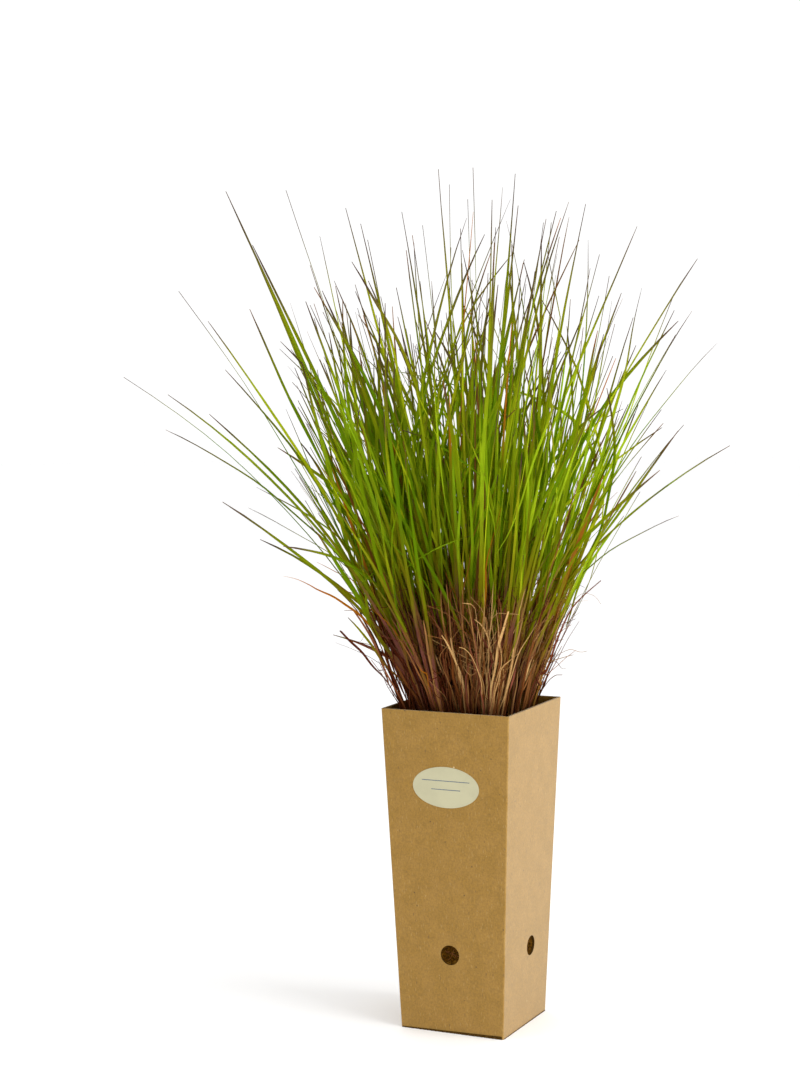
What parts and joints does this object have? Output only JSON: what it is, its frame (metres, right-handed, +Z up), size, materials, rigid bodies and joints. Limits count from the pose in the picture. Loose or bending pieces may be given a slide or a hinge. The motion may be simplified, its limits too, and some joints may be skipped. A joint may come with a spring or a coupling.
{
  "type": "potted prairie grass",
  "caption": "Clump of little bluestem, a prairie grass, in a tall square carton pot that tapers to its foot.",
  "frame": {"origin": "middle of the pot's underside", "axes": "+Z up, -Y out of the front face, which has the label"},
  "size_m": [0.4342, 0.4602, 0.685],
  "materials": {
    "kraft_board": "matt kraft board",
    "label_paper": "smooth cream paper",
    "potting_mix": "crumbly, dark",
    "green_leaf": "satin leaf",
    "dead_leaf": "dry, matt straw"
  },
  "bodies": {
    "root": {"pot": "kraft_board", "label": "label_paper", "soil": "potting_mix", "tuft_01": "green_leaf", "tuft_02": "green_leaf", "tuft_03": "green_leaf", "tuft_04": "green_leaf", "tuft_05": "green_leaf", "tuft_06": "green_leaf", "tuft_07": "green_leaf", "tuft_08": "green_leaf", "tuft_09": "green_leaf", "tuft_10": "green_leaf", "tuft_11": "green_leaf", "tuft_12": "green_leaf", "tuft_13": "green_leaf", "tuft_14": "green_leaf", "tuft_15": "green_leaf", "tuft_16": "green_leaf", "tuft_17": "green_leaf", "tuft_18": "green_leaf", "tuft_19": "green_leaf", "tuft_20": "green_leaf", "tuft_21": "green_leaf", "tuft_22": "green_leaf", "tuft_23": "green_leaf", "tuft_24": "green_leaf", "tuft_25": "green_leaf", "tuft_26": "green_leaf", "tuft_27": "green_leaf", "tuft_28": "green_leaf", "tuft_29": "green_leaf", "tuft_30": "green_leaf", "tuft_31": "green_leaf", "tuft_32": "green_leaf", "tuft_33": "green_leaf", "tuft_34": "green_leaf", "tuft_35": "green_leaf", "tuft_36": "green_leaf", "tuft_37": "green_leaf", "tuft_38": "green_leaf", "tuft_39": "green_leaf", "tuft_40": "green_leaf", "tuft_41": "green_leaf", "tuft_42": "green_leaf", "tuft_43": "green_leaf", "tuft_44": "green_leaf", "tuft_45": "green_leaf", "thatch_01": "dead_leaf", "thatch_02": "dead_leaf", "thatch_03": "dead_leaf", "thatch_04": "dead_leaf", "thatch_05": "dead_leaf", "thatch_06": "dead_leaf", "thatch_07": "dead_leaf", "thatch_08": "dead_leaf", "thatch_09": "dead_leaf", "thatch_10": "dead_leaf", "thatch_11": "dead_leaf"}
  },
  "joints": []
}
